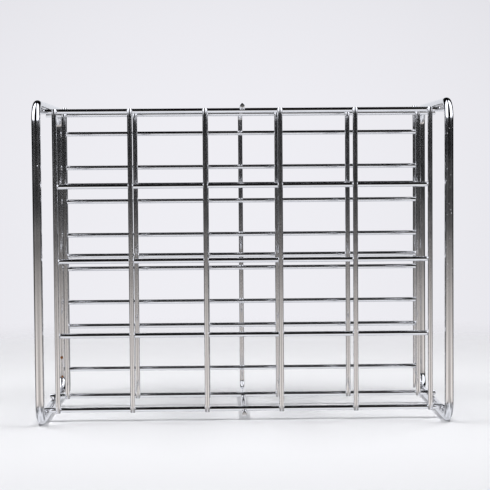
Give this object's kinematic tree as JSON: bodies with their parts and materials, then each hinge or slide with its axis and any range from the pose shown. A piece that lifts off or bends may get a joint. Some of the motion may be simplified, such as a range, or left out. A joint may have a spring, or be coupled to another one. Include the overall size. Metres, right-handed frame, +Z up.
{
  "type": "wire cell rack",
  "caption": "Free-standing chrome wire rack with open grids of square cells between closed rod side frames, a cross-wire back panel and a centre brace.",
  "frame": {"origin": "on the floor, at the middle of the rack's footprint (the bottom centre of its bounding box)", "axes": "+X to the right along the longest side, +Y away from the open front towards the back panel, +Z up"},
  "size_m": [0.463, 0.24, 0.3605],
  "materials": {
    "frame_rod": "bright chrome plate, mirror polish",
    "grid_wire": "bright chrome plate, mirror polish",
    "panel_wire": "bright chrome plate, mirror polish",
    "brace_wire": "bright chrome plate, mirror polish"
  },
  "bodies": {
    "root": {"left_side_frame": "frame_rod", "right_side_frame": "frame_rod", "front_grid_upright_1": "grid_wire", "front_grid_upright_2": "grid_wire", "front_grid_upright_3": "grid_wire", "front_grid_upright_4": "grid_wire", "front_grid_upright_5": "grid_wire", "front_grid_upright_6": "grid_wire", "front_grid_cross_wire_1": "grid_wire", "front_grid_cross_wire_2": "grid_wire", "front_grid_cross_wire_3": "grid_wire", "front_grid_cross_wire_4": "grid_wire", "front_grid_cross_wire_5": "grid_wire", "middle_grid_upright_1": "grid_wire", "middle_grid_upright_2": "grid_wire", "middle_grid_upright_3": "grid_wire", "middle_grid_upright_4": "grid_wire", "middle_grid_upright_5": "grid_wire", "middle_grid_upright_6": "grid_wire", "middle_grid_cross_wire_1": "grid_wire", "middle_grid_cross_wire_2": "grid_wire", "middle_grid_cross_wire_3": "grid_wire", "middle_grid_cross_wire_4": "grid_wire", "middle_grid_cross_wire_5": "grid_wire", "back_panel_wire_1": "panel_wire", "back_panel_wire_2": "panel_wire", "back_panel_wire_3": "panel_wire", "back_panel_wire_4": "panel_wire", "back_panel_wire_5": "panel_wire", "back_panel_wire_6": "panel_wire", "back_panel_wire_7": "panel_wire", "back_panel_wire_8": "panel_wire", "back_panel_left_upright": "panel_wire", "back_panel_right_upright": "panel_wire", "centre_brace": "brace_wire"}
  },
  "joints": []
}
